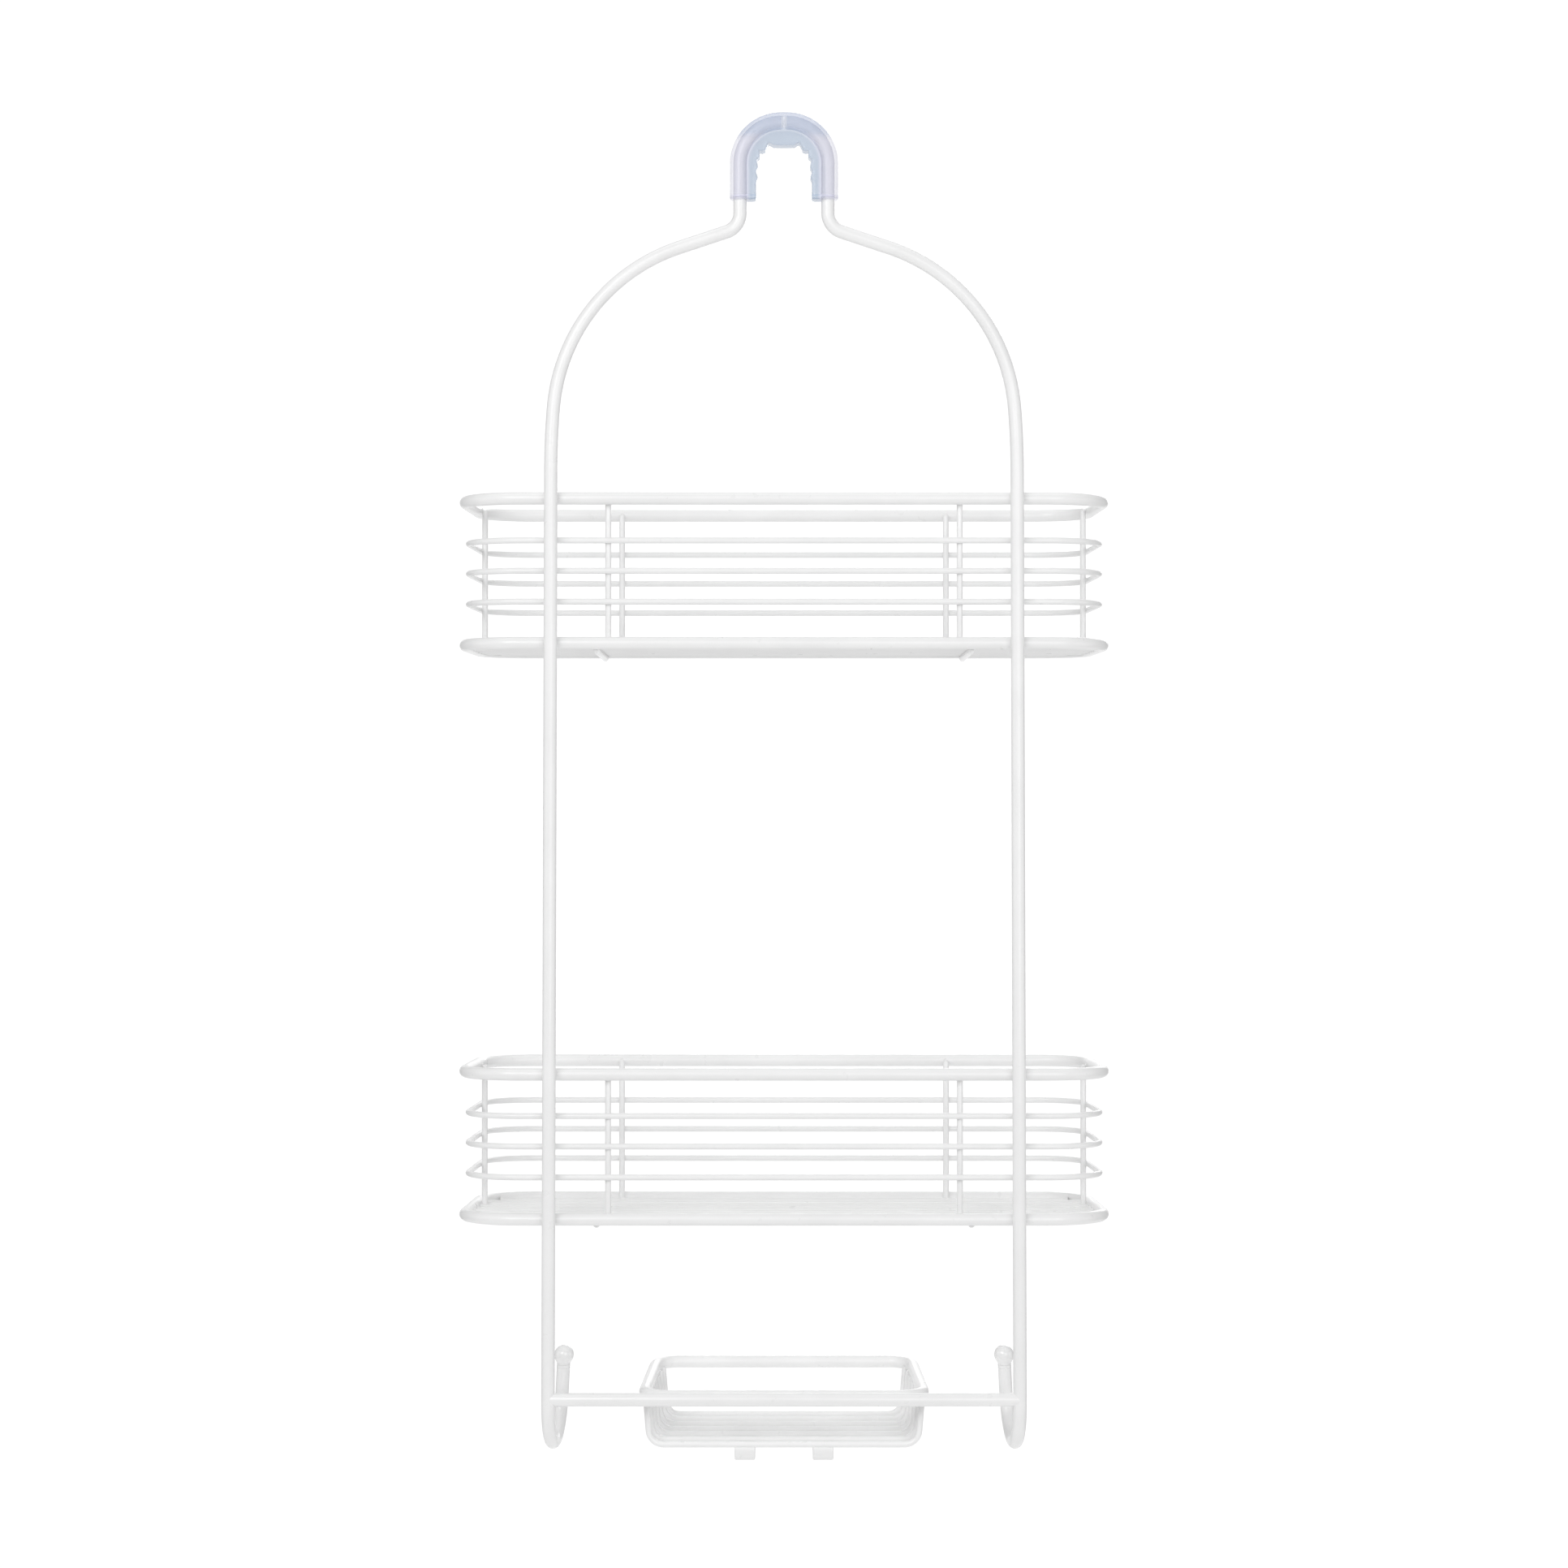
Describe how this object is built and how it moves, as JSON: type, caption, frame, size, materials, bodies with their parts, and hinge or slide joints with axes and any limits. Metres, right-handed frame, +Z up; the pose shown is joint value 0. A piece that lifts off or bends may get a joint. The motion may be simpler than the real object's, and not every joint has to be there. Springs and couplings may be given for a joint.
{
  "type": "shower caddy",
  "caption": "Wire shower caddy that hangs over a shower arm by a soft toothed grip, with baskets, J-hooks with ball tips and a ribbed soap dish on a crossbar.",
  "frame": {"origin": "middle of the flat seat inside the hook's grip sleeve, the face that rests on the shower arm", "axes": "+Z up along the caddy's height; +X to the right as seen from the wall side; +Y away from the wall, towards the baskets and the user"},
  "size_m": [0.3102, 0.119, 0.6357],
  "materials": {
    "powder_coated_wire": "semi-gloss white powder coat with a fine orange-peel texture",
    "hook_tip": "glossy white dip coat",
    "grip_sleeve": "translucent blue-grey soft vinyl, moulded, glossy"
  },
  "bodies": {
    "root": {"frame_wire_left": "powder_coated_wire", "hook_ball_left": "hook_tip", "razor_hook_left": "powder_coated_wire", "frame_wire_right": "powder_coated_wire", "hook_ball_right": "hook_tip", "razor_hook_right": "powder_coated_wire", "grip_sleeve": "grip_sleeve", "crossbar": "powder_coated_wire", "upper_basket_rim_top": "powder_coated_wire", "upper_basket_rim_bottom": "powder_coated_wire", "upper_basket_ring_1": "powder_coated_wire", "upper_basket_ring_2": "powder_coated_wire", "upper_basket_ring_3": "powder_coated_wire", "upper_basket_upright_back_left": "powder_coated_wire", "upper_basket_upright_back_right": "powder_coated_wire", "upper_basket_upright_front_left": "powder_coated_wire", "upper_basket_upright_front_right": "powder_coated_wire", "upper_basket_upright_end_left": "powder_coated_wire", "upper_basket_upright_end_right": "powder_coated_wire", "upper_basket_floor_wire_1": "powder_coated_wire", "upper_basket_floor_wire_2": "powder_coated_wire", "upper_basket_floor_wire_3": "powder_coated_wire", "upper_basket_floor_wire_4": "powder_coated_wire", "upper_basket_floor_wire_5": "powder_coated_wire", "upper_basket_floor_wire_6": "powder_coated_wire", "upper_basket_floor_wire_7": "powder_coated_wire", "upper_basket_floor_wire_8": "powder_coated_wire", "upper_basket_floor_wire_9": "powder_coated_wire", "upper_basket_support_left": "powder_coated_wire", "upper_basket_support_right": "powder_coated_wire", "lower_basket_rim_top": "powder_coated_wire", "lower_basket_rim_bottom": "powder_coated_wire", "lower_basket_ring_1": "powder_coated_wire", "lower_basket_ring_2": "powder_coated_wire", "lower_basket_ring_3": "powder_coated_wire", "lower_basket_upright_back_left": "powder_coated_wire", "lower_basket_upright_back_right": "powder_coated_wire", "lower_basket_upright_front_left": "powder_coated_wire", "lower_basket_upright_front_right": "powder_coated_wire", "lower_basket_upright_end_left": "powder_coated_wire", "lower_basket_upright_end_right": "powder_coated_wire", "lower_basket_floor_wire_1": "powder_coated_wire", "lower_basket_floor_wire_2": "powder_coated_wire", "lower_basket_floor_wire_3": "powder_coated_wire", "lower_basket_floor_wire_4": "powder_coated_wire", "lower_basket_floor_wire_5": "powder_coated_wire", "lower_basket_floor_wire_6": "powder_coated_wire", "lower_basket_floor_wire_7": "powder_coated_wire", "lower_basket_floor_wire_8": "powder_coated_wire", "lower_basket_floor_wire_9": "powder_coated_wire", "lower_basket_support_left": "powder_coated_wire", "lower_basket_support_right": "powder_coated_wire", "dish_rim": "powder_coated_wire", "dish_rib_1": "powder_coated_wire", "dish_rib_2": "powder_coated_wire", "dish_rib_3": "powder_coated_wire", "dish_rib_4": "powder_coated_wire", "dish_rib_5": "powder_coated_wire", "dish_rib_6": "powder_coated_wire", "dish_rib_7": "powder_coated_wire"}
  },
  "joints": []
}
